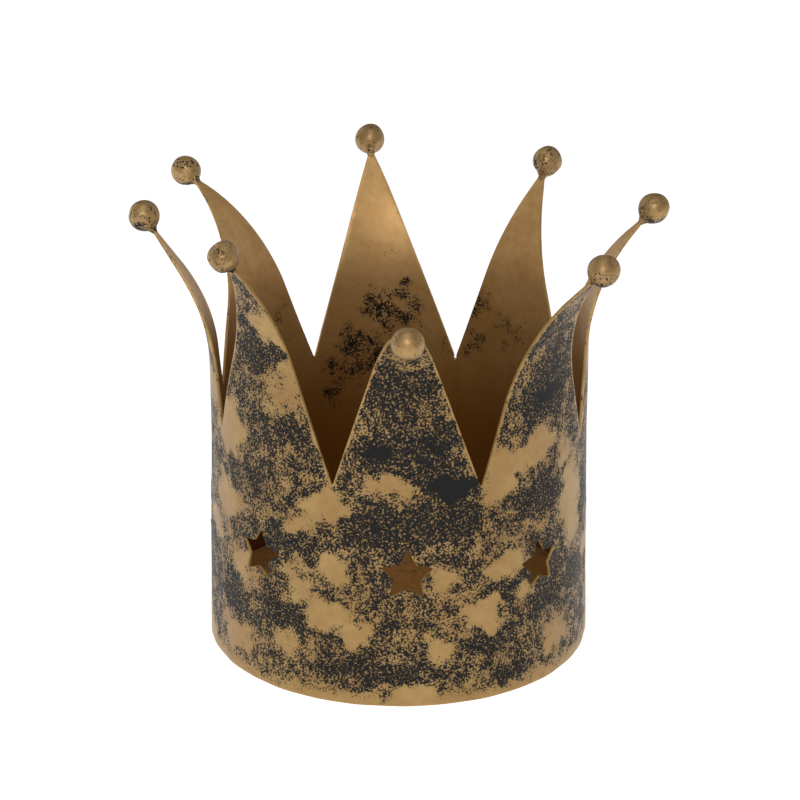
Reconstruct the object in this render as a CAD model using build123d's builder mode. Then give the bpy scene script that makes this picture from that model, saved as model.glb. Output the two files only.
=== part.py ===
from build123d import *

import os
from math import cos, degrees, hypot, radians, sin

# Sheet-metal crown on a recessed floor plate, with a ball welded to the tip of each tine.
#
# Millimetres. +Z is up, the crown stands on z = 0 and its axis is the Z axis. The front is -Y.
# Azimuths are counted from the front, in degrees, counter-clockwise seen from above.

os.makedirs("parts", exist_ok=True)

# ---------------------------------------------------------------- driving dimensions
band_radius = 55.0        # outer face of the rolled band
sheet = 0.8               # thickness of the sheet that the band and the plate are cut from
foot_flare = 1.0          # the band is this much wider in radius at its lower rim
flare_height = 63.0       # the flare has run out at this height
tine_count = 8
tine_pitch = 360 / tine_count
pattern_turn = 2.6        # the first tine stands this far round from the front
blade_length = 62.0       # a tine along the sheet, from the mean notch to its tip
mean_notch = 68.0         # height of the notches between tines
tip_half_width = 0.8
ball_radius = 4.5
ball_reach = 5.0          # tip of the sheet to the centre of its ball, in line with the sheet's end

star_points = 5
star_radius = 8.0         # centre of a star to its points, before they are blunted
star_inner_radius = 4.1
star_blunting = 0.45      # fillet at the points

plate_top = 9.3           # the floor plate is let in above the lower rim
plate_gap = 0.05          # between the plate's rim and the band

seam_gap = 0.8            # butt gap where the ends of the rolled strip meet
seam_crown = 0.35         # the seam weld stands this proud of the band
seam_rounding = 0.3       # fillet along the edges of the seam weld
seam_notch = 3            # the seam runs up into this notch

tack_count = 4
tack_leg = 2.2            # leg of the fillet tacks under the plate
tack_arc = 9.0            # how far round each tack runs
tack_turn = 20.0

neck_radius = 1.2         # weld neck at the sheet
neck_foot_radius = 2.2    # weld neck where it runs into the ball
neck_lap = 1.0            # how far the neck laps down the sheet
neck_sink = 2.5           # the neck's foot lies this far short of the ball's centre

offcut_size = 60.0        # the pieces cut away beside a tine are this large
punch_depth = 30.0        # the star punch starts this far from the axis

# The tines were cut and bent by hand, so each has its own shape, from the front tine round.
# bend_start is the height where the sheet leaves the vertical. lean is its angle from the
# vertical at the tip, in degrees. tip_offset moves the tip sideways along the sheet.
bend_start = [98.4, 86.5, 90.1, 93.7, 90.1, 92.4, 84.0, 96.9]
bend_radius = [17.9, 50.7, 48.1, 50.7, 44.0, 35.7, 57.1, 50.7]
lean = [80.0, 41.0, 42.0, 30.5, 46.3, 60.0, 32.0, 33.0]
tip_offset = [-1.2, 0.0, 0.0, 1.0, 5.4, 8.4, 0.4, -2.6]
extra_length = [-4.7, 0.2, -0.3, -3.3, -0.1, 1.8, -1.2, 0.4]
notch_azimuth = [24.6, 72.0, 117.0, 161.5, 208.5, 253.0, 292.5, 340.1]
notch_height = [65.7, 67.8, 67.5, 65.4, 67.6, 70.6, 71.8, 66.8]
star_azimuth = [2.4, 46.3, 92.2, 137.0, 183.0, 228.0, 272.0, 314.1]
star_height = [40.3, 36.8, 38.6, 39.4, 38.8, 39.6, 38.9, 39.9]
star_tilt = [1.5, -4.0, 2.0, -2.0, 3.0, 0.0, -3.0, 5.0]


# ---------------------------------------------------------------- geometry of one tine
def tine_azimuth(tine):
    """Azimuth of a tine's centre line."""
    return pattern_turn + tine_pitch * tine


def outward(azimuth):
    """Horizontal unit vector that points out of the crown."""
    return Vector(sin(radians(azimuth)), -cos(radians(azimuth)), 0)


def around(azimuth):
    """Horizontal unit vector along the band, towards growing azimuth."""
    return Vector(cos(radians(azimuth)), sin(radians(azimuth)), 0)


def blade_top(tine):
    """Length of the sheet from the base of the band to the tip of a tine."""
    return mean_notch + blade_length + extra_length[tine]


def lean_at(tine, length):
    """Angle of the sheet from the vertical, at a length up the sheet."""
    turned = degrees((length - bend_start[tine]) / bend_radius[tine])
    return max(0.0, min(turned, lean[tine]))


def flare_at(height):
    """How much the band is wider, in radius, at a height than at the notches."""
    return foot_flare * max(0.0, 1 - height / flare_height)


def inner_wall(height):
    """Radius of the inner face of the band at a height below the bends."""
    return band_radius - sheet + flare_at(height)


def profile_at(tine, length):
    """(r, z) of the outer face at a length up the tine: upright, then an arc, then straight."""
    radius = bend_radius[tine]
    angle = radians(lean_at(tine, length))
    straight = max(0.0, length - bend_start[tine] - radius * radians(lean[tine]))
    upright = min(length, bend_start[tine])
    r = band_radius + radius * (1 - cos(angle)) + straight * sin(angle)
    z = upright + radius * sin(angle) + straight * cos(angle)
    return r, z


def inside_of(tine, length):
    """(r, z) of the inner face opposite profile_at."""
    r, z = profile_at(tine, length)
    angle = radians(lean_at(tine, length))
    return r - sheet * cos(angle), z + sheet * sin(angle)


def tip_point(tine):
    """Point at the middle of the sheet's thickness, at the end of a tine."""
    r_out, z_out = profile_at(tine, blade_top(tine))
    r_in, z_in = inside_of(tine, blade_top(tine))
    r = (r_out + r_in) / 2
    z = (z_out + z_in) / 2
    centre = tine_azimuth(tine)
    return outward(centre) * r + around(centre) * tip_offset[tine] + Vector(0, 0, z)


def ball_direction(tine):
    """Unit vector from the tip of a tine to the centre of its ball."""
    angle = radians(lean_at(tine, blade_top(tine)))
    return outward(tine_azimuth(tine)) * sin(angle) + Vector(0, 0, cos(angle))


def section_plane(azimuth):
    """Upright plane through the axis, x outwards and y up."""
    return Plane(origin=(0, 0, 0), x_dir=outward(azimuth), z_dir=-around(azimuth))


def blade_plane(tine):
    """Plane that faces a tine squarely: y runs up its chord, from the mean notch to the tip."""
    centre = tine_azimuth(tine)
    r_tip, z_tip = profile_at(tine, blade_top(tine))
    rise = z_tip - mean_notch
    reach = r_tip - band_radius
    chord = hypot(rise, reach)
    facing = outward(centre) * (rise / chord) - Vector(0, 0, reach / chord)
    foot = outward(centre) * band_radius + Vector(0, 0, mean_notch)
    return Plane(origin=foot, x_dir=around(centre), z_dir=facing)


def notch_point(notch):
    """Bottom of a notch, on the outer face."""
    return outward(notch_azimuth[notch]) * band_radius + Vector(0, 0, notch_height[notch])


# ---------------------------------------------------------------- the rolled band
def make_blade(tine):
    """One sector of the band, from notch to notch, with its tine cut out and bent over."""
    start_azimuth = notch_azimuth[tine - 1]
    sector = (notch_azimuth[tine] - start_azimuth) % 360
    top = blade_top(tine)
    bend_top = min(top, bend_start[tine] + bend_radius[tine] * radians(lean[tine]))
    bend_middle = (bend_start[tine] + bend_top) / 2
    facing = blade_plane(tine)
    tip_y = facing.to_local_coords(tip_point(tine)).Y
    with BuildPart() as blade:
        with BuildSketch(section_plane(start_azimuth)):
            with BuildLine():
                Polyline(
                    (band_radius + foot_flare, 0),
                    (band_radius, flare_height),
                    (band_radius, bend_start[tine]),
                )
                ThreePointArc(
                    profile_at(tine, bend_start[tine]),
                    profile_at(tine, bend_middle),
                    profile_at(tine, bend_top),
                )
                if top > bend_top:
                    Line(profile_at(tine, bend_top), profile_at(tine, top))
                    Line(inside_of(tine, top), inside_of(tine, bend_top))
                Line(profile_at(tine, top), inside_of(tine, top))
                ThreePointArc(
                    inside_of(tine, bend_top),
                    inside_of(tine, bend_middle),
                    inside_of(tine, bend_start[tine]),
                )
                Polyline(
                    (band_radius - sheet, bend_start[tine]),
                    (band_radius - sheet, flare_height),
                    (inner_wall(0), 0),
                    (band_radius + foot_flare, 0),
                )
            make_face()
        revolve(axis=Axis.Z, revolution_arc=sector)
        for side, notch in ((-1, tine - 1), (1, tine)):
            foot = facing.to_local_coords(notch_point(notch))
            tip_x = tip_offset[tine] + side * tip_half_width
            with BuildSketch(facing):
                with BuildLine():
                    Polyline(
                        (foot.X, foot.Y),
                        (tip_x, tip_y),
                        (tip_x, tip_y + offcut_size),
                        (side * offcut_size, tip_y + offcut_size),
                        (side * offcut_size, foot.Y),
                        close=True,
                    )
                make_face()
            extrude(amount=offcut_size, both=True, mode=Mode.SUBTRACT)
    return blade.part


def star_corner(turn, tilt):
    """Corner of the star opening: even turns are points, odd turns are inner corners."""
    radius = star_inner_radius if turn % 2 else star_radius
    angle = radians(turn * 180 / star_points + tilt)
    return radius * sin(angle), radius * cos(angle)


blades = [make_blade(tine) for tine in range(tine_count)]

with BuildPart() as crown_band:
    for blade in blades:
        add(blade)
    for tine in range(tine_count):
        # star opening, punched square to the band
        punch = Plane(
            origin=outward(star_azimuth[tine]) * punch_depth + Vector(0, 0, star_height[tine]),
            x_dir=around(star_azimuth[tine]),
            z_dir=outward(star_azimuth[tine]),
        )
        with BuildSketch(punch) as star:
            with BuildLine():
                corners = [star_corner(turn, star_tilt[tine]) for turn in range(2 * star_points)]
                Polyline(*corners, close=True)
            make_face()
            mean_radius = (star_radius + star_inner_radius) / 2
            points = star.vertices().filter_by(lambda corner: hypot(corner.X, corner.Y) > mean_radius)
            fillet(points, radius=star_blunting)
        extrude(amount=band_radius, mode=Mode.SUBTRACT)
    # butt gap between the ends of the strip
    with BuildSketch(section_plane(notch_azimuth[seam_notch])):
        with Locations((band_radius, notch_height[seam_notch] / 2)):
            Rectangle(4 * sheet, notch_height[seam_notch] + sheet)
    extrude(amount=seam_gap / 2, both=True, mode=Mode.SUBTRACT)
crown_band.part.label = "crown_band"
export_step(crown_band.part, "parts/crown_band.step")

# The seam weld fills the gap between the strip's ends and stands proud on the outside.
seam_height = notch_height[seam_notch] - sheet / 2
with BuildPart() as seam_weld:
    with BuildSketch(section_plane(notch_azimuth[seam_notch])):
        with BuildLine():
            Polyline(
                (inner_wall(0), 0),
                (inner_wall(flare_height), flare_height),
                (band_radius - sheet, seam_height),
                (band_radius + seam_crown, seam_height),
                (band_radius + seam_crown, flare_height),
                (band_radius + foot_flare + seam_crown, 0),
                close=True,
            )
        make_face()
    extrude(amount=seam_gap / 2, both=True)
    crown_edges = seam_weld.edges().filter_by(
        lambda edge: edge.length > 10 and hypot(edge.center().X, edge.center().Y) > band_radius
    )
    fillet(crown_edges, radius=seam_rounding)
seam_weld.part.label = "seam_weld"
export_step(seam_weld.part, "parts/seam_weld.step")

# ---------------------------------------------------------------- the floor plate and its tacks
with BuildPart() as base_plate:
    with BuildSketch(Plane.XY.offset(plate_top - sheet)):
        Circle(inner_wall(plate_top) - plate_gap)
    extrude(amount=sheet)
base_plate.part.label = "base_plate"
export_step(base_plate.part, "parts/base_plate.step")

with BuildPart() as base_tacks:
    for tack in range(tack_count):
        with BuildSketch(section_plane(tack_turn + tack * 360 / tack_count)):
            with BuildLine():
                Polyline(
                    (inner_wall(plate_top - sheet), plate_top - sheet),
                    (inner_wall(plate_top) - tack_leg, plate_top - sheet),
                    (inner_wall(plate_top - sheet - tack_leg), plate_top - sheet - tack_leg),
                    close=True,
                )
            make_face()
        revolve(axis=Axis.Z, revolution_arc=tack_arc)
base_tacks.part.label = "base_tacks"
export_step(base_tacks.part, "parts/base_tacks.step")

# ---------------------------------------------------------------- balls and their weld necks
for tine in range(tine_count):
    direction = ball_direction(tine)
    tip = tip_point(tine)
    ball_centre = tip + direction * ball_reach
    with BuildPart() as ball:
        with Locations(ball_centre):
            Sphere(ball_radius)
    ball.part.label = f"ball_{tine + 1}"
    export_step(ball.part, f"parts/ball_{tine + 1}.step")

    with BuildPart() as neck:
        with BuildSketch(Plane(origin=tip - direction * neck_lap, z_dir=direction)):
            Circle(neck_radius)
        with BuildSketch(Plane(origin=ball_centre - direction * neck_sink, z_dir=direction)):
            Circle(neck_foot_radius)
        loft()
        add(ball.part, mode=Mode.SUBTRACT)
        add(blades[tine], mode=Mode.SUBTRACT)
    neck.part.label = f"weld_{tine + 1}"
    export_step(neck.part, f"parts/weld_{tine + 1}.step")
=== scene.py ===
# %% [markdown]
# # A crown of rolled sheet metal
#
# The object is a small free-standing crown: one strip of sheet metal, rolled into a band, with eight
# tines that were bent outwards by hand and a ball welded to each tip. It was sprayed matte gold and
# then dabbed with black. The construction model gives every size and place, so the lesson starts by
# loading it as a fixed frame. Everything below is built around that frame, in metres.

# %% Load the frame
from math import cos, pi, radians, sin

import bpy
import numpy as np
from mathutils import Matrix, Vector
from mathutils.geometry import delaunay_2d_cdt


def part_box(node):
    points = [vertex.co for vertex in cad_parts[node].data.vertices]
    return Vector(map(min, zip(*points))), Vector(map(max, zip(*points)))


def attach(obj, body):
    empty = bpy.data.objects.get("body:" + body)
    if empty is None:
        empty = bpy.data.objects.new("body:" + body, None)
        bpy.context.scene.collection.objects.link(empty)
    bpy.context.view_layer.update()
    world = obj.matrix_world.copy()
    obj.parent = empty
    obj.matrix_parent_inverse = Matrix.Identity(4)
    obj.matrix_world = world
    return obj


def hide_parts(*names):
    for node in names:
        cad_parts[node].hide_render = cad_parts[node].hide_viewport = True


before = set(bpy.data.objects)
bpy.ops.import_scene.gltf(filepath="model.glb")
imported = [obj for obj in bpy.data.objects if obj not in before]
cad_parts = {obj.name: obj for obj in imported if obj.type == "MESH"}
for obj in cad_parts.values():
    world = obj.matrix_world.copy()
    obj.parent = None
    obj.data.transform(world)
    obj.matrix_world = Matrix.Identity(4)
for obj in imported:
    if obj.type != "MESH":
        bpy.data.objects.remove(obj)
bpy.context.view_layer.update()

MM = 0.001

# %% [markdown]
# ## The sheet before it is rolled
#
# A sheet-metal worker draws this crown flat. `u` runs along the strip and `s` runs up it. A tine is a
# tall triangle between two notches. Each one was cut and bent a little differently, and that is
# much of the charm, so the shape is a short table with one entry per tine. The angle round the crown
# is counted from the front, where the first tine stands.

# %% Dimensions of the flat strip
SHEET = 0.8 * MM
PLATE_GAP = 0.05 * MM
FOOT_FLARE = 1.0 * MM
FLARE_HEIGHT = 63.0 * MM
PLATE_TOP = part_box("base_plate")[1][2]
BAND_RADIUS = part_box("base_plate")[1][0] + PLATE_GAP + SHEET - FOOT_FLARE * (1 - PLATE_TOP / FLARE_HEIGHT)
TINES = 8
PITCH = 2 * pi / TINES
TURN = radians(2.6)
NOMINAL_TOP = 130.0 * MM

BEND_START = np.array([98.4, 86.5, 90.1, 93.7, 90.1, 92.4, 84.0, 96.9]) * MM
BEND_RADIUS = np.array([17.9, 50.7, 48.1, 50.7, 44.0, 35.7, 57.1, 50.7]) * MM
LEAN = np.radians([80.0, 41.0, 42.0, 30.5, 46.3, 60.0, 32.0, 33.0])
TIP_OFFSET = np.array([-1.2, 0.0, 0.0, 1.0, 5.4, 8.4, 0.4, -2.6]) * MM
EXTRA_LENGTH = np.array([-4.7, 0.2, -0.3, -3.3, -0.1, 1.8, -1.2, 0.4]) * MM
NOTCH_ANGLE = np.radians([24.6, 72.0, 117.0, 161.5, 208.5, 253.0, 292.5, 340.1])
NOTCH_HEIGHT = np.array([65.7, 67.8, 67.5, 65.4, 67.6, 70.6, 71.8, 66.8]) * MM
STAR_ANGLE = np.radians([2.4, 46.3, 92.2, 137.0, 183.0, 228.0, 272.0, 314.1])
STAR_HEIGHT = np.array([40.3, 36.8, 38.6, 39.4, 38.8, 39.6, 38.9, 39.9]) * MM
STAR_TILT = np.radians([1.5, -4.0, 2.0, -2.0, 3.0, 0.0, -3.0, 5.0])

TINE_ANGLE = TURN + PITCH * np.arange(TINES)
BLADE_TOP = NOMINAL_TOP + EXTRA_LENGTH
TIP_HALF_WIDTH = 0.8 * MM
SEAM_NOTCH = 3
SEAM_HALF_GAP = 0.4 * MM
print("strip length %.1f mm" % (2 * pi * BAND_RADIUS / MM))

# %% [markdown]
# ## Rolling and bending
#
# Rolling turns the length along the strip into an angle. Bending carries the height along an upright
# line, then an arc, then a straight. One function does both for whole arrays of points, so the cut
# edges, the star openings and the places of the balls all follow the same bend.

# %% From the flat strip to the rolled band
def profile(tine, s):
    """Radius, height and lean of the outer face at a length s up the strip.

    Upright to the bend start, then an arc of the bend radius until the full lean, then straight.
    The foot of the band flares out by a millimetre, as the upright part was rolled a little conical.
    """
    start, radius, full = BEND_START[tine], BEND_RADIUS[tine], LEAN[tine]
    lean = np.clip((s - start) / radius, 0.0, full)
    straight = np.maximum(0.0, s - start - radius * full)
    r = BAND_RADIUS + FOOT_FLARE * np.maximum(0.0, 1 - s / FLARE_HEIGHT)
    r = r + radius * (1 - np.cos(lean)) + straight * np.sin(lean)
    z = np.minimum(s, start) + radius * np.sin(lean) + straight * np.cos(lean)
    return r, z, lean


def tine_of(angle):
    """Number of the tine whose sector, from notch to notch, holds an angle."""
    edges = np.append(NOTCH_ANGLE[-1] - 2 * pi, NOTCH_ANGLE)
    turned = np.mod(angle - edges[0], 2 * pi) + edges[0]
    return np.clip(np.searchsorted(edges, turned) - 1, 0, TINES - 1)


def hand_waver(angle, z):
    """How far the hand-rolled sheet wanders from a true circle: a few slow sine waves."""
    slow = 0.22 * np.sin(3 * angle + 0.7) + 0.16 * np.sin(5 * angle - 1.9 + z * 22)
    quick = 0.07 * np.sin(17 * angle + z * 90) + 0.05 * np.sin(29 * angle - z * 140 + 1.1)
    return (slow + quick) * MM


def roll(u, s):
    """Points (x, y, z) of the outer face for a length u along the strip and s up it.

    In the band the angle is u over the radius. In a bent tine the width stays what it was when flat,
    so the angle is counted from the tine's own centre line and shrinks as the radius grows.
    """
    tine = tine_of(u / BAND_RADIUS)
    centre = TINE_ANGLE[tine]
    r, z, lean = profile(tine, s)
    aside = np.mod(u / BAND_RADIUS - centre + pi, 2 * pi) - pi
    angle = centre + aside * BAND_RADIUS / r
    r = r + hand_waver(angle, z) * np.clip(1.4 - z / (100 * MM), 0.4, 1.0)
    return np.stack([r * np.sin(angle), -r * np.cos(angle), z], axis=-1)


print("front tine tip:", np.round(roll(TINE_ANGLE[0] * BAND_RADIUS, BLADE_TOP[0]) / MM, 1))

# %% [markdown]
# ## The cutting line
#
# Shears never leave a perfectly sharp inside corner, and a punch has worn points. One helper rounds
# the corners of any polygon: it replaces each corner by an arc that touches both sides.

# %% Outlines with rounded corners
STEP = 1.25 * MM
STAR_OUTER, STAR_INNER = 8.0 * MM, 4.1 * MM
STAR_OUTER_ROUND, STAR_INNER_ROUND = 0.45 * MM, 0.3 * MM
NOTCH_DEEPER, NOTCH_ROUND = 1.0 * MM, 0.35 * MM
SEAM_TOP_ABOVE_NOTCH = 1.1 * MM


def rounded(corners, radii, arc_points=5):
    """Polygon with each corner replaced by points on the arc that touches both of its sides."""
    corners = np.asarray(corners, float)
    out = []
    for i, corner in enumerate(corners):
        before = corners[i - 1] - corner
        after = corners[(i + 1) % len(corners)] - corner
        before, after = before / np.linalg.norm(before), after / np.linalg.norm(after)
        half = np.arccos(np.clip(before @ after, -1, 1)) / 2
        if radii[i] == 0 or half > 0.499 * pi:
            out.append(corner[None])
            continue
        middle = (before + after) / np.linalg.norm(before + after)
        centre = corner + middle * radii[i] / np.sin(half)
        first = corner + before * radii[i] / np.tan(half) - centre
        last = corner + after * radii[i] / np.tan(half) - centre
        sweep = np.linspace(0, 1, arc_points)[:, None]
        arc = first * (1 - sweep) + last * sweep
        out.append(centre + arc / np.linalg.norm(arc, axis=1, keepdims=True) * radii[i])
    return np.concatenate(out)


def divided(loop, step):
    """Closed polygon with points added so that no side is longer than step."""
    out = []
    for a, b in zip(loop, np.roll(loop, -1, axis=0)):
        count = max(1, int(np.ceil(np.linalg.norm(b - a) / step)))
        out.append(a + (b - a) * (np.arange(count) / count)[:, None])
    return np.concatenate(out)


def unrolled(angle):
    """Place along the flat strip of an angle round the crown. The strip starts at the seam."""
    past_seam = angle > NOTCH_ANGLE[SEAM_NOTCH] + 1e-6
    return (angle - 2 * pi * past_seam) * BAND_RADIUS


def strip_outline():
    """The strip's outline: straight along the rim, then up one butt end and over all the tines."""
    right = unrolled(NOTCH_ANGLE[SEAM_NOTCH]) - SEAM_HALF_GAP
    left = right - 2 * pi * BAND_RADIUS + 2 * SEAM_HALF_GAP
    seam_top = NOTCH_HEIGHT[SEAM_NOTCH] + SEAM_TOP_ABOVE_NOTCH
    corners = [(left, 0), (right, 0), (right, seam_top)]
    radii = [0, 0, 0]
    for place in range(TINES):
        tine = (SEAM_NOTCH - place) % TINES
        tip = unrolled(TINE_ANGLE[tine]) + TIP_OFFSET[tine]
        corners += [(tip + TIP_HALF_WIDTH, BLADE_TOP[tine]), (tip - TIP_HALF_WIDTH, BLADE_TOP[tine])]
        radii += [0, 0]
        if place < TINES - 1:
            corners.append((unrolled(NOTCH_ANGLE[tine - 1]), NOTCH_HEIGHT[tine - 1] - NOTCH_DEEPER))
            radii.append(NOTCH_ROUND)
    corners.append((left, seam_top))
    radii.append(0)
    return rounded(corners, radii)


def star_outline(tine):
    """Five-pointed star: every second corner lies on the inner circle, and the points are blunt."""
    is_inner = np.arange(10) % 2
    turn = np.arange(10) * pi / 5 + STAR_TILT[tine]
    radius = np.where(is_inner, STAR_INNER, STAR_OUTER)
    centre = np.array([unrolled(STAR_ANGLE[tine]), STAR_HEIGHT[tine]])
    corners = centre + np.stack([radius * np.sin(turn), radius * np.cos(turn)], axis=1)
    return rounded(corners[::-1], np.where(is_inner[::-1], STAR_INNER_ROUND, STAR_OUTER_ROUND))


outline = divided(strip_outline(), STEP)
stars = [divided(star_outline(tine), 0.6 * STEP) for tine in range(TINES)]
print("outline points:", len(outline), "star points:", [len(star) for star in stars])

# %% [markdown]
# ## Cutting the sheet
#
# The flat sheet is filled with an even field of points, kept a little away from the cut edges, and a
# constrained Delaunay triangulation joins them. The cut edges stay exactly where they were drawn,
# and the rest is an even net that bends smoothly. The strip's outline is also divided finely, so that
# the distance of each point from it can be kept later: the black is worn off along the tines.

# %% Fill the flat sheet with an even net
def inside(points, loop):
    """Even-odd rule: a point is inside if a line to the right crosses the loop an odd number of times."""
    a, b = loop, np.roll(loop, -1, axis=0)
    crossings = np.zeros(len(points), int)
    for (ax, ay), (bx, by) in zip(a, b):
        if ay == by:
            continue
        spans = (points[:, 1] < ay) != (points[:, 1] < by)
        crossings += spans & (points[:, 0] < ax + (points[:, 1] - ay) * (bx - ax) / (by - ay))
    return crossings % 2 == 1


def nearest(points, targets, chunk=2000):
    """Distance from each point to the nearest target, worked out a block of points at a time."""
    out = []
    for i in range(0, len(points), chunk):
        block = points[i:i + chunk]
        squares = (block ** 2).sum(1)[:, None] + (targets ** 2).sum(1) - 2 * block @ targets.T
        out.append(np.sqrt(np.maximum(squares.min(1), 0.0)))
    return np.concatenate(out)


low, high = outline.min(0), outline.max(0)
across = np.arange(low[0], high[0], STEP)
rows = np.arange(low[1], high[1], STEP * 0.866)
grid_u, grid_s = np.meshgrid(across, rows)
grid_u = grid_u + (np.arange(len(rows)) % 2)[:, None] * STEP / 2
field = np.stack([grid_u.ravel(), grid_s.ravel()], axis=1)
field = field[inside(field, outline)]
for star in stars:
    field = field[~inside(field, star)]
edge_points = np.concatenate([outline] + stars)
field = field[nearest(field, edge_points) > 0.62 * STEP]

loops = [outline] + stars
points = np.concatenate(loops + [field])
edges, first = [], 0
for loop in loops:
    index = np.arange(len(loop)) + first
    edges += list(zip(index.tolist(), np.roll(index, -1).tolist()))
    first += len(loop)
flat, _, faces, *_ = delaunay_2d_cdt([Vector(p) for p in (points / MM).tolist()], edges, [], 1, 1e-5)
flat = np.array([tuple(p) for p in flat]) * MM
centres = flat[np.array(faces)].mean(1)
punched = np.any([inside(centres, star) for star in stars], axis=0)
faces = [face for face, gone in zip(faces, punched) if not gone]
print("flat sheet:", len(flat), "points,", len(faces), "triangles")
fine_edges = divided(outline, 0.3 * MM)

# %% [markdown]
# ## Dabs of black
#
# The crown was sprayed gold and then dabbed with black from a nearly dry sponge. Where the sponge
# pressed, the black is close to solid. Where a thumb or a rag wiped it, round islands of clean gold
# are left. The grain of the sponge is far too fine for the net, so the net only stores how *much* black
# lies at each point, and the material later breaks that amount up into grains. Each dab is a soft
# flat-topped spot given by its place on the strip, its half width, its half height and its strength:
# positive is black and negative is wiped gold.

# %% How much black lies where
OUTER_DABS = np.array([
    # u, s, half width, half height, strength
    (-22.0, 59.5, 5.4, 4.8, -0.9), (-19.4, 41.0, 4.2, 3.8, -0.9), (-20.5, 27.0, 5.5, 4.6, -1.0),
    (-12.0, 21.5, 4.0, 3.8, -0.7), (-4.5, 68.0, 7.0, 3.2, -0.5), (30.0, 67.5, 5.0, 6.5, -1.0),
    (38.0, 70.5, 6.5, 4.0, -0.8), (47.0, 74.5, 6.0, 3.2, -0.7), (31.5, 40.0, 4.6, 4.2, -0.9),
    (23.8, 26.0, 5.2, 4.8, -1.0), (12.8, 39.0, 4.6, 3.4, -0.5), (11.5, 17.5, 4.4, 4.0, -0.6),
    (4.2, 4.0, 4.4, 3.4, -0.8), (-52.5, 33.5, 4.6, 4.6, -0.9), (-55.5, 10.5, 7.5, 4.4, -0.9),
    (-58.5, 74.0, 7.5, 7.5, -1.0), (-60.5, 51.5, 7.0, 5.2, -0.8), (39.5, 30.0, 4.0, 3.0, -0.6),
    (63.0, 50.0, 7.0, 12.0, -0.9), (-30.0, 53.0, 4.5, 3.4, -0.5), (-37.0, 90.0, 6.0, 6.0, -0.3),
    (-38.0, 110.5, 6.5, 5.0, -0.6), (-31.0, 99.0, 4.5, 7.0, -0.4), (-30.0, 34.0, 6.0, 7.0, -0.35),
    (52.0, 12.0, 6.0, 5.0, -0.6), (-34.0, 15.0, 4.5, 3.5, -0.5), (57.0, 68.0, 5.0, 4.0, -0.5),
    (15.5, 66.2, 6.8, 3.6, 1.5), (4.0, 78.0, 11.0, 4.2, 0.55), (-7.5, 77.0, 4.5, 3.6, 0.6),
    (6.0, 56.0, 17.0, 5.6, 0.5), (-11.0, 54.0, 6.0, 4.4, 0.4), (12.0, 82.0, 5.0, 4.0, 0.4),
    (0.5, 97.5, 8.0, 4.0, 0.5), (46.0, 86.0, 9.5, 4.6, 0.6), (37.0, 108.0, 5.0, 3.4, 0.6),
    (1.0, 90.0, 7.5, 5.5, 0.2), (7.0, 73.0, 7.0, 3.0, 0.35), (50.0, 93.0, 8.0, 7.0, 0.4),
    (-46.0, 99.5, 5.0, 3.6, 0.5), (-37.5, 103.0, 5.0, 4.0, 0.3),
    (-32.0, 79.5, 6.0, 2.8, 0.45), (-34.0, 46.0, 6.0, 3.2, 0.4),
    (28.0, 33.0, 4.4, 2.4, 0.5), (-34.0, 24.5, 7.5, 4.2, 0.3), (-59.0, 22.0, 7.0, 4.0, 0.45),
    (-13.5, 12.0, 7.0, 4.0, 0.3), (0.0, 9.5, 5.0, 3.2, 0.35), (25.5, 17.5, 6.0, 3.0, 0.35),
    (34.5, 7.0, 5.0, 3.6, 0.4), (47.0, 31.0, 7.0, 11.0, 0.4), (45.0, 58.0, 9.0, 5.0, 0.45),
    (-50.0, 62.0, 8.0, 5.0, 0.15), (-27.0, 70.0, 5.0, 6.0, 0.1), (63.0, 28.0, 6.0, 6.0, 0.4),
])
INNER_DABS = np.array([
    (-174.0, 87.0, 4.5, 2.6, 0.60), (-166.0, 82.0, 5.5, 5.0, 0.56), (-171.5, 76.0, 5.0, 5.0, 0.52),
    (-177.5, 79.5, 3.5, 5.0, 0.50), (-162.5, 67.0, 6.0, 8.0, 0.52), (-169.0, 64.0, 5.0, 5.0, 0.42),
    (-180.0, 68.0, 4.0, 5.0, 0.3), (-192.0, 70.0, 6.0, 6.0, 0.35), (-169.5, 98.0, 2.0, 1.6, 0.3),
    (-154.0, 60.0, 6.5, 6.0, 0.55), (-156.0, 72.0, 5.0, 4.0, 0.5), (-149.0, 52.0, 6.0, 5.0, 0.4),
    (148.0, 84.0, 5.0, 5.0, 0.58), (137.0, 76.0, 7.0, 6.0, 0.42), (149.0, 72.0, 5.0, 6.0, 0.45),
    (-134.0, 84.0, 3.0, 4.0, 0.35), (-120.0, 62.0, 8.0, 5.0, 0.3), (100.0, 60.0, 9.0, 7.0, 0.3),
])


def scattered(count, seed, reach):
    """Random dabs for the back of the strip, beyond a reach either side of the front."""
    draw = np.random.default_rng(seed)
    half_strip = pi * BAND_RADIUS / MM
    u = draw.uniform(reach, 2 * half_strip - reach, count)
    u = np.where(u > unrolled(NOTCH_ANGLE[SEAM_NOTCH]) / MM, u - 2 * half_strip, u)
    s = draw.uniform(2, 112, count)
    half_width = draw.uniform(3.5, 9, count)
    half_height = draw.uniform(3, 5.5, count)
    wiped = draw.random(count) < 0.45
    strength = np.where(wiped, draw.uniform(-0.9, -0.5, count), draw.uniform(0.1, 0.4, count))
    return np.stack([u, s, half_width, half_height, strength], axis=1)


def smeared(flat_points):
    """Places pushed about by slow sine waves, so that no dab keeps a clean oval outline."""
    u, s = flat_points[:, 0] / MM, flat_points[:, 1] / MM
    du = 1.3 * np.sin(0.55 * s + 0.21 * u) + 0.8 * np.sin(1.13 * s - 0.74 * u + 2.0)
    ds = 1.2 * np.sin(0.47 * u - 0.30 * s + 1.0) + 0.8 * np.sin(1.21 * u + 0.66 * s)
    return u + du, s + ds


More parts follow.
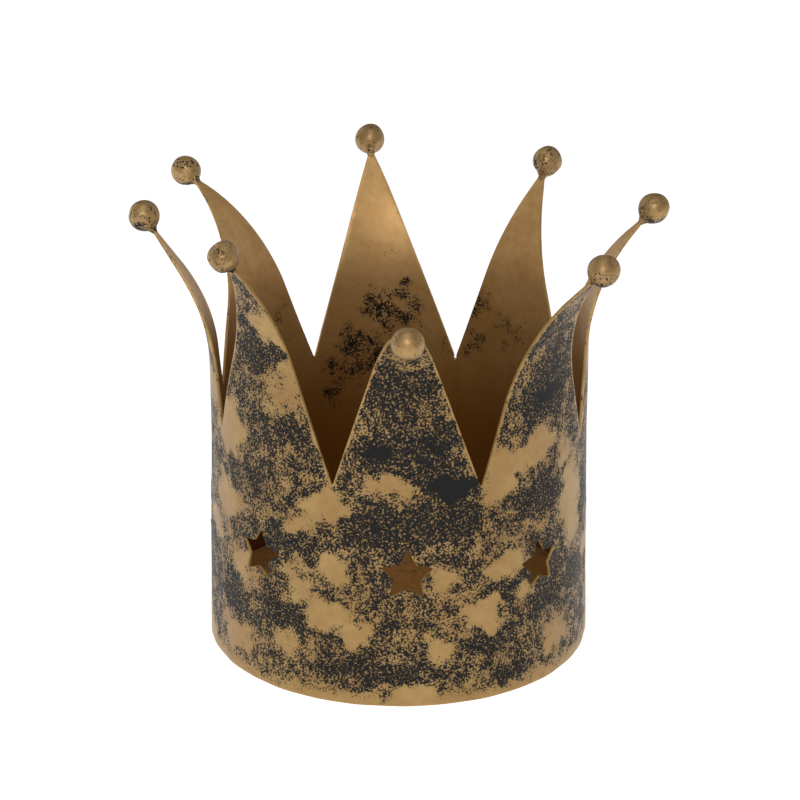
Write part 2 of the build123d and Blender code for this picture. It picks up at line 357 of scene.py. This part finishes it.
def amount(flat_points, dabs, ground):
    """Ground amount of black plus every dab: strength times exp(-distance to the fourth power)."""
    u, s = smeared(flat_points)
    total = np.full(len(flat_points), ground)
    for dab_u, dab_s, half_width, half_height, strength in dabs:
        apart = ((u - dab_u) / half_width) ** 2 + ((s - dab_s) / half_height) ** 2
        total += strength * np.exp(-apart ** 2)
    return total


OUTER_GROUND, INNER_GROUND = 0.575, -0.05
RIM_WIPED_HEIGHT = 3.2 * MM
rim_wiped = 0.55 * np.exp(-(flat[:, 1] / RIM_WIPED_HEIGHT) ** 2)
all_outer_dabs = np.concatenate([OUTER_DABS, scattered(110, 7, 70)])
black_outside = amount(flat, all_outer_dabs, OUTER_GROUND) - rim_wiped
black_inside = amount(flat, INNER_DABS, INNER_GROUND)
print("mean black outside %.2f, inside %.2f" % (black_outside.mean(), black_inside.mean()))

# %% [markdown]
# ## The band as a mesh
#
# The flat net is rolled by the function above. The numbers that the paint needs ride along as point
# attributes. Solidify gives the sheet its thickness inwards, and a fine bevel takes the razor edge off
# every cut, which is what catches the light along the tines. Outside, inside and cut edge get a
# material each, because they were not painted alike.

# %% Roll the sheet up
def new_piece(name, vertices, faces, materials=()):
    """Mesh object with its place in its mesh, smooth shaded, riding on the crown."""
    mesh = bpy.data.meshes.new(name)
    mesh.from_pydata(np.asarray(vertices).tolist(), [], [list(face) for face in faces])
    mesh.validate()
    mesh.polygons.foreach_set("use_smooth", np.ones(len(mesh.polygons), bool))
    piece = bpy.data.objects.new(name, mesh)
    bpy.context.scene.collection.objects.link(piece)
    for material in materials:
        mesh.materials.append(material)
    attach(piece, "root")
    return piece


def store(piece, name, values):
    """Keeps one number per vertex on the mesh, under a name that a material can read."""
    attribute = piece.data.attributes.new(name, "FLOAT", "POINT")
    attribute.data.foreach_set("value", np.asarray(values, np.float32))


corner_a, corner_b, corner_c = (flat[[face[i] for face in faces]] for i in range(3))
side_1, side_2 = corner_b - corner_a, corner_c - corner_a
turned_left = side_1[:, 0] * side_2[:, 1] - side_1[:, 1] * side_2[:, 0] > 0
outward_faces = [face if left else face[::-1] for face, left in zip(faces, turned_left)]

star_edge = nearest(flat, np.concatenate([divided(star, 0.3 * MM) for star in stars]))
SWAGE_WIDTH, SWAGE_HEIGHT = 0.8 * MM, 0.15 * MM
swage = np.exp(-(star_edge / SWAGE_WIDTH) ** 2)
rolled = roll(flat[:, 0], flat[:, 1])
radial = rolled * [1, 1, 0] / np.linalg.norm(rolled[:, :2], axis=1, keepdims=True)
rolled = rolled + radial * (SWAGE_HEIGHT * swage)[:, None]

band = new_piece("band_and_tines", rolled, outward_faces)
store(band, "edge_distance", nearest(flat, fine_edges) / MM)
store(band, "black_outside", black_outside)
store(band, "black_inside", black_inside)
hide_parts("crown_band")

thickness = band.modifiers.new("sheet", "SOLIDIFY")
thickness.thickness = SHEET
thickness.offset = -1
thickness.material_offset = 1
thickness.material_offset_rim = 2
soft_edge = band.modifiers.new("soft_edge", "BEVEL")
soft_edge.width = 0.17 * MM
soft_edge.segments = 2
soft_edge.limit_method = "ANGLE"
soft_edge.angle_limit = radians(50)
print("band:", len(rolled), "points")

# %% [markdown]
# ## Balls on the tips
#
# The balls are cheap steel beads: nearly round, a little dented, and caught on the tip by one blob of
# weld. Each one is a unit sphere of directions on a grid, pushed in and out by a few slow waves and by
# shallow dents. Its poles lie on the line through the tip, so the weld hides one of them. Soot from
# the torch stays on the low side, next to the weld.

# %% Dented balls
BALL_RADIUS = 4.5 * MM
BALL_ROWS, BALL_COLUMNS = 40, 72
WAVES, WAVE_HEIGHT = 5, 0.014
DENTS = 7
PEAR_SWELL = 0.07


def closed_grid(rows, columns):
    """Faces of a tube of rows x columns points whose first and last point are single poles."""
    ring = np.arange(columns)
    after = (ring + 1) % columns
    start = 1 + np.arange(rows - 1)[:, None] * columns
    walls = np.stack([start + ring, start + after, start + columns + after, start + columns + ring], axis=-1)
    last = 1 + rows * columns
    first_cap = np.stack([np.zeros(columns, int), 1 + after, 1 + ring], axis=-1)
    last_ring = 1 + (rows - 1) * columns
    last_cap = np.stack([np.full(columns, last), last_ring + ring, last_ring + after], axis=-1)
    return walls.reshape(-1, 4).tolist() + first_cap.tolist() + last_cap.tolist()


def frame_along(direction):
    """Two unit vectors square to a direction and to each other."""
    side = np.cross(direction, [0.0, 0.0, 1.0])
    side /= np.linalg.norm(side)
    return side, np.cross(direction, side)


def tip_frame(tine):
    """Middle of the tine's end, and the direction from there to the middle of its ball."""
    low_corner, high_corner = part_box("ball_%d" % (tine + 1))
    ball_centre = (np.array(low_corner) + np.array(high_corner)) / 2
    u = TINE_ANGLE[tine] * BAND_RADIUS + TIP_OFFSET[tine]
    tip = roll(np.array(u), BLADE_TOP[tine])
    lean = profile(tine, BLADE_TOP[tine])[2]
    outwards = np.array([sin(TINE_ANGLE[tine]), -cos(TINE_ANGLE[tine]), 0])
    tip = tip - (outwards * cos(lean) - np.array([0, 0, sin(lean)])) * SHEET / 2
    direction = ball_centre - tip
    return tip, ball_centre, direction / np.linalg.norm(direction)


def dented_ball(tine):
    """Radius over directions: ball radius times (1 + slow waves - round dents + a swell at the weld)."""
    draw = np.random.default_rng(40 + tine)
    tip, centre, axis = tip_frame(tine)
    side, up = frame_along(axis)
    tilt = np.linspace(0, pi, BALL_ROWS + 2)[1:-1, None]
    turn = np.linspace(0, 2 * pi, BALL_COLUMNS, endpoint=False)[None, :]
    ring = np.sin(tilt)[..., None] * (np.cos(turn)[..., None] * side + np.sin(turn)[..., None] * up)
    ways = (ring - np.cos(tilt)[..., None] * axis).reshape(-1, 3)
    ways = np.concatenate([[-axis], ways, [axis]])
    radius = np.full(len(ways), 1.0)
    for _ in range(WAVES):
        wave, phase = draw.normal(size=3) * 2.2, draw.uniform(0, 2 * pi)
        radius += WAVE_HEIGHT * np.sin(ways @ wave + phase)
    for _ in range(DENTS):
        spot = draw.normal(size=3)
        spot /= np.linalg.norm(spot)
        width, depth = draw.uniform(0.15, 0.42), draw.uniform(0.015, 0.065)
        radius -= depth * np.exp(-((ways - spot) ** 2).sum(1) / width ** 2)
    radius += PEAR_SWELL * np.exp(-((ways + axis) ** 2).sum(1) / 0.5 ** 2)
    vertices = centre + ways * (radius * BALL_RADIUS)[:, None]
    ball = new_piece("gold_ball_%d" % (tine + 1), vertices, closed_grid(BALL_ROWS, BALL_COLUMNS))
    outwards = np.array([sin(TINE_ANGLE[tine]), -cos(TINE_ANGLE[tine]), 0])
    low_side = outwards * 0.5 - axis * 0.7 - np.array([0, 0, 0.6]) + draw.normal(size=3) * 0.2
    low_side /= np.linalg.norm(low_side)
    soot = np.exp(-((ways - low_side) ** 2).sum(1) / draw.uniform(0.7, 1.0) ** 2)
    store(ball, "black_outside", 0.20 + 0.75 * soot)
    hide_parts("ball_%d" % (tine + 1))
    return ball


balls = [dented_ball(tine) for tine in range(TINES)]
print("balls:", len(balls), "of", len(balls[0].data.vertices), "points")

# %% [markdown]
# ## Weld necks
#
# The weld ran down over the tip and up onto the ball, which gives the tips their drop shape. A profile
# is carried round the line from the tip to the ball: thin where it laps over the sheet, then flaring
# out until it lies against the ball. It is squeezed across the sheet and lumpy, as a quick weld is.

# %% Weld necks between tip and ball
NECK_ROWS, NECK_COLUMNS = 26, 40
NECK_LAP = 1.5 * MM
NECK_THIN, NECK_FLARE = 0.95, 1.7
NECK_SEAT = 0.62


def weld_neck(tine):
    """Radius along the neck: 0.95 mm plus 1.7 mm times (share of the length) to the power 1.8.

    The first fifth is rounded off to a blunt foot, and the neck is blackened on its outer side.
    """
    draw = np.random.default_rng(80 + tine)
    tip, centre, axis = tip_frame(tine)
    outwards = np.array([sin(TINE_ANGLE[tine]), -cos(TINE_ANGLE[tine]), 0])
    side = np.cross(axis, outwards)
    side /= np.linalg.norm(side)
    thin = np.cross(axis, side)
    reach = np.linalg.norm(centre - tip) - NECK_SEAT * BALL_RADIUS
    along = np.linspace(-NECK_LAP, reach, NECK_ROWS)
    share = (along + NECK_LAP) / (reach + NECK_LAP)
    round_foot = np.sqrt(1 - (1 - np.clip(share / 0.2, 0.05, 1)) ** 2)
    radius = (NECK_THIN + NECK_FLARE * share ** 1.8) * MM * round_foot
    squeeze = 0.62 + 0.38 * np.clip(share * 2, 0, 1)
    turn = np.linspace(0, 2 * pi, NECK_COLUMNS, endpoint=False)
    lumps = 1 + 0.05 * np.sin(3 * turn + share[:, None] * 7 + draw.uniform(0, 6))
    lumps += 0.04 * np.sin(5 * turn - share[:, None] * 13 + draw.uniform(0, 6))
    flat_way = (np.cos(turn) * radius[:, None] * lumps)[..., None] * side
    thin_way = (np.sin(turn) * (radius * squeeze)[:, None] * lumps)[..., None] * thin
    rings = tip + along[:, None, None] * axis + flat_way + thin_way
    ends = tip - NECK_LAP * axis * 1.02, tip + (reach + 0.5 * MM) * axis
    vertices = np.concatenate([[ends[0]], rings.reshape(-1, 3), [ends[1]]])
    neck = new_piece("weld_bead_%d" % (tine + 1), vertices, closed_grid(NECK_ROWS, NECK_COLUMNS))
    outer_side = ((rings - tip - along[:, None, None] * axis) @ outwards) / radius[:, None]
    black = 0.45 + 0.5 * np.clip(outer_side, 0, 1)
    store(neck, "black_outside", np.concatenate([[0.3], black.ravel(), [0.6]]))
    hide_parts("weld_%d" % (tine + 1))
    return neck


necks = [weld_neck(tine) for tine in range(TINES)]
print("necks:", len(necks), "of", len(necks[0].data.vertices), "points")

# %% [markdown]
# ## Floor plate
#
# The floor is a disc of the same sheet, dropped into the band and tacked from below. A thin flat disc
# never stays flat: the heat of the tacks pulls it into a slow oil-can ripple. The surface is a polar
# grid whose profile runs from the middle over the rounded rim and back underneath.

# %% Floor plate with its ripple
PLATE_LOW, PLATE_HIGH = (np.array(corner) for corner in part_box("base_plate"))
PLATE_COLUMNS, PLATE_RINGS = 180, 26
PLATE_EDGE_ROUND = 0.25 * MM


def floor_disc():
    """Top, rounded rim and underside as one profile round the axis, rippled by slow waves."""
    radius = PLATE_HIGH[0]
    edge = PLATE_EDGE_ROUND
    spread = np.linspace(0.03, 1, PLATE_RINGS) * (radius - edge)
    round_rim = np.linspace(0, pi, 7)[1:-1]
    profile_r = np.concatenate([spread, radius - edge + edge * np.sin(round_rim), spread[::-1]])
    half = (PLATE_HIGH[2] - PLATE_LOW[2]) / 2
    flat_z = np.full(PLATE_RINGS, half)
    profile_z = np.concatenate([flat_z, half * np.cos(round_rim), -flat_z])
    turn = np.linspace(0, 2 * pi, PLATE_COLUMNS, endpoint=False)
    r = np.repeat(profile_r, PLATE_COLUMNS)
    angle = np.tile(turn, len(profile_r))
    ripple = 0.22 * np.cos(2 * angle + 0.8) * (r / radius) ** 2 + 0.18 * np.cos(r / radius * 5.0)
    ripple = ripple * np.clip((radius - r) / (6 * MM), 0, 1)
    middle = (PLATE_HIGH[2] + PLATE_LOW[2]) / 2
    z = middle + np.repeat(profile_z, PLATE_COLUMNS) + ripple * MM
    rings = np.stack([r * np.cos(angle), r * np.sin(angle), z], axis=1)
    poles = np.array([[0, 0, middle + half + 0.18 * MM], [0, 0, middle - half + 0.18 * MM]])
    vertices = np.concatenate([poles[:1], rings, poles[1:]])
    rows = len(profile_r)
    disc = new_piece("floor_disc", vertices, [face[::-1] for face in closed_grid(rows, PLATE_COLUMNS)])
    near_wall = np.clip((r / radius - 0.75) * 4, 0, 1)
    store(disc, "black_outside", np.concatenate([[0.1], 0.10 + 0.12 * near_wall, [0.1]]))
    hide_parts("base_plate")
    return disc


floor_plate = floor_disc()
print("floor plate radius %.1f mm" % (PLATE_HIGH[0] / MM))

# %% [markdown]
# ## Seam weld
#
# Where the ends of the strip meet at the back, one bead of weld closes the band. A bead laid by hand
# is a row of overlapping ripples, so its crown swells and sinks a little along its height.

# %% Seam weld with its ripples
SEAM_LOW, SEAM_HIGH = (np.array(corner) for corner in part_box("seam_weld"))
SEAM_ROWS, SEAM_COLUMNS = 160, 20
SEAM_CROWN, SEAM_OUTER_HALF, SEAM_INNER_HALF = 0.36 * MM, 0.85 * MM, 0.55 * MM


def seam_bead():
    """Half-round section carried up the seam; its crown is scaled by ripples along the height.

    The outer side is dabbed with black like the band. The inner side lies nearly flush and stays gold.
    """
    angle = NOTCH_ANGLE[SEAM_NOTCH]
    outwards = np.array([sin(angle), -cos(angle), 0])
    along_band = np.array([cos(angle), sin(angle), 0])
    height = np.linspace(SEAM_LOW[2] + 0.1 * MM, SEAM_HIGH[2], SEAM_ROWS)
    turn = np.linspace(0, 2 * pi, SEAM_COLUMNS, endpoint=False)
    ripple = 1 + 0.25 * np.sin(height / MM * 3.1 + 0.6 * np.sin(height / MM)) ** 2
    ripple *= 1 + 0.12 * np.sin(height / MM * 0.37 + 1)
    wander = 0.12 * MM * np.sin(height / MM * 0.21)
    outer = np.clip(np.sin(turn), 0, 1) * SEAM_CROWN
    inner = -np.clip(-np.sin(turn), 0, 1) ** 0.4 * (SHEET + 0.12 * MM)
    flare = FOOT_FLARE * np.maximum(0.0, 1 - height / FLARE_HEIGHT)
    depth = BAND_RADIUS - 0.02 * MM + flare[:, None] + outer[None, :] * ripple[:, None] + inner[None, :]
    half_width = np.cos(turn) * np.where(np.sin(turn) > 0, SEAM_OUTER_HALF, SEAM_INNER_HALF)
    width = half_width[None, :] * ripple[:, None] ** 0.5
    depth = depth + hand_waver(angle, height)[:, None] * np.clip(1.4 - height / (100 * MM), 0.4, 1.0)[:, None]
    points = depth[..., None] * outwards + (width + wander[:, None])[..., None] * along_band
    points[..., 2] = height[:, None]
    middle = (BAND_RADIUS - SHEET / 2) * outwards
    ends = middle + [0, 0, SEAM_LOW[2] + 0.02 * MM], middle + [0, 0, SEAM_HIGH[2] + 0.15 * MM]
    vertices = np.concatenate([[ends[0]], points.reshape(-1, 3), [ends[1]]])
    bead = new_piece("seam_bead", vertices, [face[::-1] for face in closed_grid(SEAM_ROWS, SEAM_COLUMNS)])
    black = np.tile(np.where(np.sin(turn) > -0.05, 0.45, -0.4), SEAM_ROWS)
    store(bead, "black_outside", np.concatenate([[0.4], black, [-0.2]]))
    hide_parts("seam_weld")
    return bead


seam = seam_bead()
print("seam bead height %.1f mm" % ((SEAM_HIGH[2] - SEAM_LOW[2]) / MM))

# %% [markdown]
# ## Writing materials as sums
#
# A material is arithmetic on textures, so it reads best as arithmetic. `Flow` wraps one output of one
# node, and the usual operators on it add the Math nodes. Every other kind of node comes from one
# method, `node`, which takes its type, its settings and what goes into its sockets.

# %% A small language for materials
class Flow:
    """One value on its way through a material. Operators on it add Math nodes."""

    def __init__(self, finish, socket):
        self.finish, self.socket = finish, socket

    def maths(self, operation, *values):
        """One Math node with these values in its sockets."""
        return self.finish.node("ShaderNodeMath", {"operation": operation}, dict(enumerate(values)))

    def __add__(self, other):
        return self.maths("ADD", self, other)

    def __radd__(self, other):
        return self.maths("ADD", other, self)

    def __sub__(self, other):
        return self.maths("SUBTRACT", self, other)

    def __rsub__(self, other):
        return self.maths("SUBTRACT", other, self)

    def __mul__(self, other):
        return self.maths("MULTIPLY", self, other)

    def __rmul__(self, other):
        return self.maths("MULTIPLY", other, self)

    def __truediv__(self, other):
        return self.maths("DIVIDE", self, other)

    def at_most(self, other):
        return self.maths("MINIMUM", self, other)

    def at_least(self, other):
        return self.maths("MAXIMUM", self, other)

    def rise(self, low, high):
        """Smooth step: 0 below low, 1 above high."""
        settings = {"interpolation_type": "SMOOTHSTEP"}
        inputs = {"Value": self, "From Min": low, "From Max": high}
        return self.finish.node("ShaderNodeMapRange", settings, inputs)


class Finish:
    """A material with one Principled shader, built up from nodes and Flow arithmetic."""

    def __init__(self, name):
        self.material = bpy.data.materials.new(name)
        self.material.use_nodes = True
        self.tree = self.material.node_tree
        self.shader = self.tree.nodes["Principled BSDF"]

    def plug(self, socket, value):
        """Links a Flow to a socket, or sets a plain number or colour on it."""
        if isinstance(value, Flow):
            self.tree.links.new(value.socket, socket)
        else:
            socket.default_value = value

    def node(self, kind, settings=None, inputs=None, output=0):
        """Adds a node: settings first, then its inputs, and returns one output as a Flow."""
        made = self.tree.nodes.new(kind)
        for name, value in (settings or {}).items():
            setattr(made, name, value)
        for name, value in (inputs or {}).items():
            self.plug(made.inputs[name], value)
        return Flow(self, made.outputs[output])

    def place(self):
        """Where a point lies on the object, in metres."""
        return self.node("ShaderNodeTexCoord", output="Object")

    def noise(self, where, scale, detail=2.0, roughness=0.5):
        """Noise between 0 and 1, with about `scale` lumps to the metre."""
        inputs = {"Vector": where, "Scale": scale, "Detail": detail, "Roughness": roughness}
        return self.node("ShaderNodeTexNoise", None, inputs)

    def attribute(self, name):
        """The number stored on the mesh under this name."""
        return self.node("ShaderNodeAttribute", {"attribute_name": name}, output="Fac")

    def blend(self, amount, first, second):
        """Colour that goes from first to second as the amount goes from 0 to 1."""
        inputs = {"Factor": amount, 6: first, 7: second}
        return self.node("ShaderNodeMix", {"data_type": "RGBA"}, inputs, output=2)

    def finish(self, **sockets):
        """Plugs the named sockets of the shader (an underscore stands for a space)."""
        for name, value in sockets.items():
            self.plug(self.shader.inputs[name.replace("_", " ")], value)
        return self.material


def rgb(red, green, blue):
    """Linear colour of the eight-bit display values."""
    levels = np.array([red, green, blue]) / 255
    linear = np.where(levels > 0.04045, ((levels + 0.055) / 1.055) ** 2.4, levels / 12.92)
    return (*linear.tolist(), 1.0)


# %% [markdown]
# ## Antique gold, dabbed with black
# Matte gold paint is a brown-yellow with a weak metallic lustre. The black lies on it as grains of a
# third to half a millimetre, which join into worms where there is more of it. So the black mask is a
# fine noise cut off at a height, and the height follows the stored amount: a large amount cuts low
# and leaves nearly solid black, a small one leaves a few specks. Two slower noises make the borders of
# the dabs ragged. Along the cut edges the black is rubbed off, and between the grains a thin stain of
# it browns the gold. Inside, the gold is painted darker brown towards the bottom of the cup: this is
# painted shade, standing in for the light that the walls keep out of the low inside.

# %% Paint
GOLD = rgb(174, 142, 88)
GOLD_DEEP = rgb(156, 121, 70)
BLACK = rgb(13, 13, 12)
STAIN = rgb(104, 82, 52)
# Painted shade inside the cup: the coat turns this brown below the first height and fades out by the second.
PAINTED_SHADE_BROWN = rgb(122, 78, 26)
SHADE_FULL_BELOW, SHADE_GONE_ABOVE = 0.040, 0.112
CLOUDS, RAGS, GRAINS, MOTTLES, PORES = 70, 260, 1700, 420, 2600
SOLID_AMOUNT = 1.1
MOST_BLACK = 0.71
HIGHEST_CUT, CUT_PER_BLACK, GRAIN_SOFTNESS = 0.72, 0.44, 0.08


def painted(name, black_source=None, gold=GOLD, deep=GOLD_DEEP, metal=0.5, gloss=0.35, **ways):
    """Gold paint with black grains: base colour, roughness and a fine bump, all from one mask.

    The mask is 1 where the grain noise rises above a cut of 0.72 minus 0.44 times the amount of black.
    The ways are edge_wear, with the black rubbed off along the outline, and painted_shade_low, with painted
    shade that turns the coat darker brown low down.
    """
    paint = Finish(name)
    where = paint.place()
    cloud = paint.noise(where, CLOUDS, 3, 0.55)
    ragged = paint.noise(where, RAGS, 3, 0.65)
    grain = paint.noise(where, GRAINS, 3, 0.62)
    black = paint.attribute(black_source) if black_source else paint.noise(where, 120, 2) * 0.3
    density = black + (ragged - 0.5) * 1.3 + (cloud - 0.5) * 0.4
    if ways.get("edge_wear"):
        kept = (paint.attribute("edge_distance") + (ragged - 0.5) * 2.0).rise(-0.1, 0.9)
        density = density * kept
    solid = (black - SOLID_AMOUNT).rise(0.0, 0.3)
    density = density.at_least(0.0).at_most(MOST_BLACK + solid * 0.4)
    cut = HIGHEST_CUT - density * CUT_PER_BLACK
    mask = ((grain - cut) / GRAIN_SOFTNESS + 0.5).at_least(0.0).at_most(1.0)
    tone = (cloud * 0.7 + paint.noise(where, MOTTLES, 2) * 0.3).rise(0.3, 0.72)
    coat = paint.blend(density * 0.4, paint.blend(tone, deep, gold), STAIN)
    if ways.get("painted_shade_low"):
        # Painted shade: darker brown towards the bottom of the cup, where the walls keep the light out.
        height_up = paint.node("ShaderNodeSeparateXYZ", None, {"Vector": where}, output="Z")
        coat = paint.blend(height_up.rise(SHADE_FULL_BELOW, SHADE_GONE_ABOVE), PAINTED_SHADE_BROWN, coat)
    colour = paint.blend(mask, coat, BLACK)
    height = mask * 0.5 + paint.noise(where, PORES, 1) * 0.35 + cloud * 1.2
    bump = paint.node("ShaderNodeBump", None, {"Height": height, "Strength": 0.35, "Distance": 0.0001})
    rough = 0.48 + mask * 0.14 + (ragged - 0.5) * 0.12
    steady = {"Specular IOR Level": 0.12, "Coat Roughness": 0.4}
    for socket, value in steady.items():
        paint.plug(paint.shader.inputs[socket], value)
    looks = {"Base_Color": colour, "Roughness": rough, "Metallic": metal * (1 - mask), "Normal": bump}
    return paint.finish(Coat_Weight=gloss * (1 - 0.5 * mask), **looks)


outside_paint = painted("gold_dabbed_outside", "black_outside", edge_wear=True)
# The inside paints also get painted shade towards the bottom of the cup.
inner = {"gold": rgb(210, 170, 112), "deep": rgb(188, 144, 86), "painted_shade_low": True}
inside_paint = painted("gold_inside", "black_inside", **inner)
seam_paint = painted("gold_seam", "black_outside", **inner)
edge_paint = painted("gold_cut_edge", gold=rgb(196, 158, 94))
ball_gold, ball_deep = rgb(190, 156, 104), rgb(156, 122, 74)
ball_paint = painted("gold_balls", "black_outside", gold=ball_gold, deep=ball_deep, metal=0.6, gloss=0.4)
floor_paint = painted("gold_floor", "black_outside", gold=rgb(212, 162, 96), deep=rgb(192, 140, 76))

for material in (outside_paint, inside_paint, edge_paint):
    band.data.materials.append(material)
for piece in balls + necks:
    piece.data.materials.append(ball_paint)
floor_plate.data.materials.append(floor_paint)
seam.data.materials.append(seam_paint)
seam.data.materials.append(painted("gold_seam_outside", "black_outside"))

# The bead's faces run row after row, so the first half of each row is its outer side.
seam_faces = np.arange(len(seam.data.polygons))
on_outside = (seam_faces % SEAM_COLUMNS < SEAM_COLUMNS // 2) & (seam_faces < (SEAM_ROWS - 1) * SEAM_COLUMNS)
seam.data.polygons.foreach_set("material_index", on_outside.astype(np.int32))
tack_paint = painted("gold_tacks")
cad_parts["base_tacks"].data.materials.clear()
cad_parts["base_tacks"].data.materials.append(tack_paint)
print("materials:", len(bpy.data.materials))

# %% [markdown]
# ## Studio
#
# The crown stands on a plain white sweep under large soft lights. A white world fills the shadows. The
# camera has a long lens and looks down a little, so that the far tines rise above the near ones.

# %% Floor, light and camera
def stage_floor():
    """Large disc just below the rim."""
    turn = np.linspace(0, 2 * pi, 64, endpoint=False)
    ring = np.stack([2.5 * np.cos(turn), 2.5 * np.sin(turn), np.full(64, -0.00005)], axis=1)
    mesh = bpy.data.meshes.new("studio_floor")
    mesh.from_pydata(ring.tolist(), [], [list(range(64))])
    floor = bpy.data.objects.new("studio_floor", mesh)
    bpy.context.scene.collection.objects.link(floor)
    paper = Finish("white_paper")
    glow = {"Emission_Color": (1, 1, 1, 1), "Emission_Strength": 0.72}
    mesh.materials.append(paper.finish(Base_Color=(0.8, 0.8, 0.8, 1), Roughness=0.9, **glow))
    return floor


def soft_light(name, place, target, size, power):
    """Square area light that faces a target."""
    lamp = bpy.data.lights.new(name, "AREA")
    lamp.energy, lamp.size = power, size
    light = bpy.data.objects.new(name, lamp)
    light.location = place
    light.rotation_euler = (Vector(target) - Vector(place)).to_track_quat("-Z", "Y").to_euler()
    bpy.context.scene.collection.objects.link(light)
    return light


floor = stage_floor()
middle = (0, 0, 0.06)
soft_light("light_front", (-0.1, -1.15, 0.85), middle, 0.6, 8.0)
soft_light("light_above", (0.0, -0.2, 1.2), middle, 0.6, 1.8)
soft_light("light_left", (-0.95, 0.6, 0.45), middle, 0.9, 2.0)
soft_light("light_right", (0.95, 0.6, 0.45), middle, 0.9, 0.8)

world = bpy.data.worlds.new("studio")
world.use_nodes = True
world.node_tree.nodes["Background"].inputs["Color"].default_value = (1, 1, 1, 1)
world.node_tree.nodes["Background"].inputs["Strength"].default_value = 0.2
bpy.context.scene.world = world
bpy.context.scene.view_settings.view_transform = "Standard"

CAMERA_TILT = radians(22.32)
CAMERA_DISTANCE = 17.8 * BAND_RADIUS
SENSOR = 36.0
LENS = 149.7
lens = bpy.data.cameras.new("camera")
lens.sensor_width = SENSOR
lens.lens = LENS
camera = bpy.data.objects.new("camera", lens)
camera.location = (
    0,
    -CAMERA_DISTANCE * cos(CAMERA_TILT),
    BAND_RADIUS + CAMERA_DISTANCE * sin(CAMERA_TILT),
)
aim = Vector((0.0003, 0, 0.0717))
camera.rotation_euler = (aim - camera.location).to_track_quat("-Z", "Y").to_euler()
bpy.context.scene.collection.objects.link(camera)
bpy.context.scene.camera = camera
print("camera", tuple(round(value, 3) for value in camera.location))
